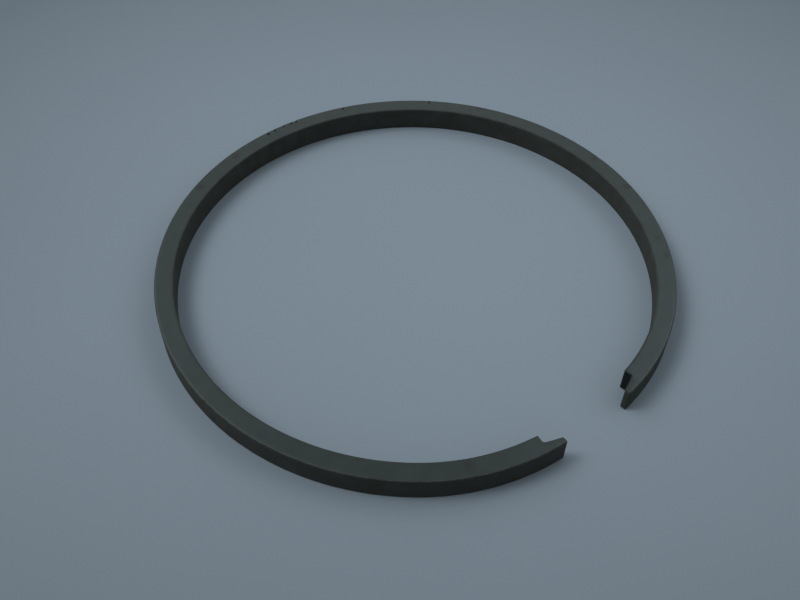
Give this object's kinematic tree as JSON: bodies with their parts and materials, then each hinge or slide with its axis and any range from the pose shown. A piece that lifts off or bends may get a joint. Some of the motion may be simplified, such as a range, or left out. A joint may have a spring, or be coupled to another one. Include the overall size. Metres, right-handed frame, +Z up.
{
  "type": "piston ring",
  "caption": "Split cast-iron piston ring lying free: rectangular section, sprung-open gap, and a peg notch on the inside of each tip.",
  "frame": {"origin": "on the axis of the ring's main arc, at its lower side face", "axes": "+Z up along the ring's axis, the gap in the middle of the -Y side"},
  "size_m": [0.04, 0.0395, 0.002],
  "materials": {
    "phosphated_iron": "fine matt phosphate coat, a little rubbed on the edges"
  },
  "bodies": {
    "root": {"piston_ring": "phosphated_iron"}
  },
  "joints": []
}
